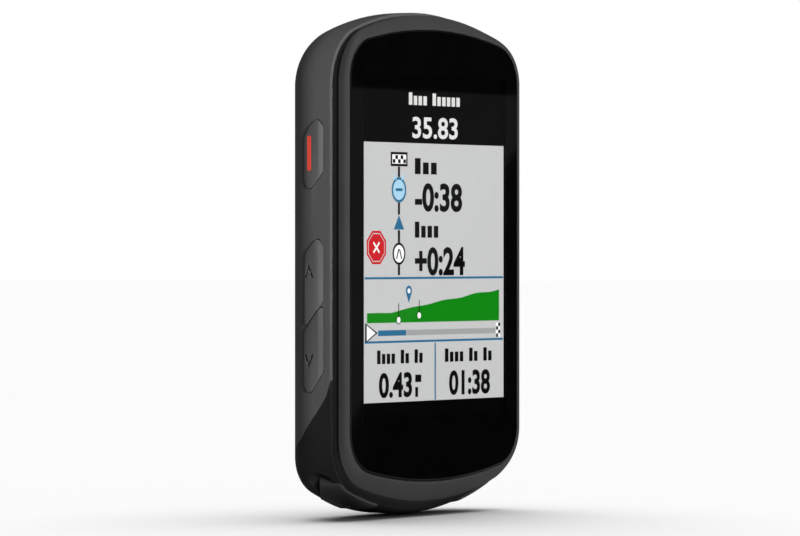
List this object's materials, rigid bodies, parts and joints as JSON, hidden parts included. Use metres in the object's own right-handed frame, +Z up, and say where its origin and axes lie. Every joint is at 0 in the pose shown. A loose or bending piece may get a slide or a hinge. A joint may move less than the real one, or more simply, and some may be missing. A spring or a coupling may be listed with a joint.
{
  "type": "cycling computer",
  "caption": "Handlebar cycling computer with a glass front, sprung side and chin buttons, a rubber port cover and a quarter-turn bayonet on its back.",
  "frame": {"origin": "centre of the quarter-turn bayonet's outer face", "axes": "+Z up the long side of the case, +Y out of the bayonet, glass facing -Y, X across the case"},
  "size_m": [0.0506, 0.02, 0.082],
  "materials": {
    "cover_glass": "polished, black backed",
    "black_adhesive": "matte",
    "bezel_plastic": "fine satin",
    "case_plastic": "fine matte",
    "cover_plastic": "fine matte",
    "button_rubber": "soft matte",
    "chin_button_rubber": "soft matte",
    "flap_rubber": "soft matte",
    "red_inlay": "satin",
    "grey_silicone": "matte",
    "seal_rubber": "matte",
    "mount_nylon": "glass-filled, matte",
    "screw_steel": "plated",
    "sensor_plastic": "clear dark",
    "display": "transflective screen",
    "light_guide": "milky",
    "polyimide": "amber film",
    "frame_alloy": "stamped",
    "circuit_board": "solder mask",
    "can_steel": "tinned",
    "chip_plastic": "moulded",
    "ceramic": "fired",
    "membrane": "porous film",
    "battery_pouch": "laminated foil",
    "foam": "open cell",
    "wire_insulation": "extruded",
    "connector_nylon": "moulded"
  },
  "bodies": {
    "case": {"lens": "cover_glass", "lens_adhesive": "black_adhesive", "front_bezel": "bezel_plastic", "mid_case": "case_plastic", "back_cover": "cover_plastic", "case_seal": "grey_silicone", "mount_insert": "mount_nylon", "mount_screws": "screw_steel", "case_screws": "screw_steel", "light_sensor": "sensor_plastic", "display_panel": "display", "backlight": "light_guide", "display_flex": "polyimide", "inner_frame": "frame_alloy", "main_board": "circuit_board", "shield_cans": "can_steel", "board_chips": "chip_plastic", "board_screws": "screw_steel", "gps_antenna": "ceramic", "buzzer": "chip_plastic", "pressure_sensor": "can_steel", "vent_membrane": "membrane", "battery": "battery_pouch", "battery_foam": "foam", "battery_lead": "wire_insulation", "battery_connector": "connector_nylon", "usb_connector": "can_steel", "left_key_board": "circuit_board", "right_key_board": "circuit_board", "lap_key_board": "circuit_board", "start_key_board": "circuit_board", "key_switches": "chip_plastic", "button_seals": "seal_rubber"},
    "power_key": {"power_button": "button_rubber", "power_button_mark": "red_inlay", "power_plunger": "connector_nylon"},
    "up_key": {"up_button": "button_rubber", "up_plunger": "connector_nylon"},
    "down_key": {"down_button": "button_rubber", "down_plunger": "connector_nylon"},
    "enter_key": {"enter_button": "button_rubber", "enter_plunger": "connector_nylon"},
    "back_key": {"back_button": "button_rubber", "back_plunger": "connector_nylon"},
    "lap_key": {"lap_button": "chin_button_rubber", "lap_plunger": "connector_nylon"},
    "start_key": {"start_button": "chin_button_rubber", "start_plunger": "connector_nylon"},
    "port_flap": {"usb_cover": "flap_rubber"}
  },
  "joints": [
    {"name": "power_press", "type": "slide", "parent": "case", "child": "power_key", "axis": [1, 0, 0], "range_m": [0, 0.0005], "stiffness_N_per_m": 1500, "springref_m": -0.0003},
    {"name": "up_press", "type": "slide", "parent": "case", "child": "up_key", "axis": [1, 0, 0], "range_m": [0, 0.0005], "stiffness_N_per_m": 1500, "springref_m": -0.0003},
    {"name": "down_press", "type": "slide", "parent": "case", "child": "down_key", "axis": [1, 0, 0], "range_m": [0, 0.0005], "stiffness_N_per_m": 1500, "springref_m": -0.0003},
    {"name": "enter_press", "type": "slide", "parent": "case", "child": "enter_key", "axis": [-1, 0, 0], "range_m": [0, 0.0005], "stiffness_N_per_m": 1500, "springref_m": -0.0003},
    {"name": "back_press", "type": "slide", "parent": "case", "child": "back_key", "axis": [-1, 0, 0], "range_m": [0, 0.0005], "stiffness_N_per_m": 1500, "springref_m": -0.0003},
    {"name": "lap_press", "type": "slide", "parent": "case", "child": "lap_key", "axis": [0.3584, 0, 0.9336], "range_m": [0, 0.0005], "stiffness_N_per_m": 1500, "springref_m": -0.0003},
    {"name": "start_press", "type": "slide", "parent": "case", "child": "start_key", "axis": [-0.3584, 0, 0.9336], "range_m": [0, 0.0005], "stiffness_N_per_m": 1500, "springref_m": -0.0003},
    {"name": "port_flap_hinge", "type": "hinge", "parent": "case", "child": "port_flap", "pos_m": [0, -0.0075, -0.0319], "axis": [1, 0, 0], "range_deg": [0, 90], "stiffness_Nm_per_rad": 0.0002, "springref_deg": -11.46}
  ]
}
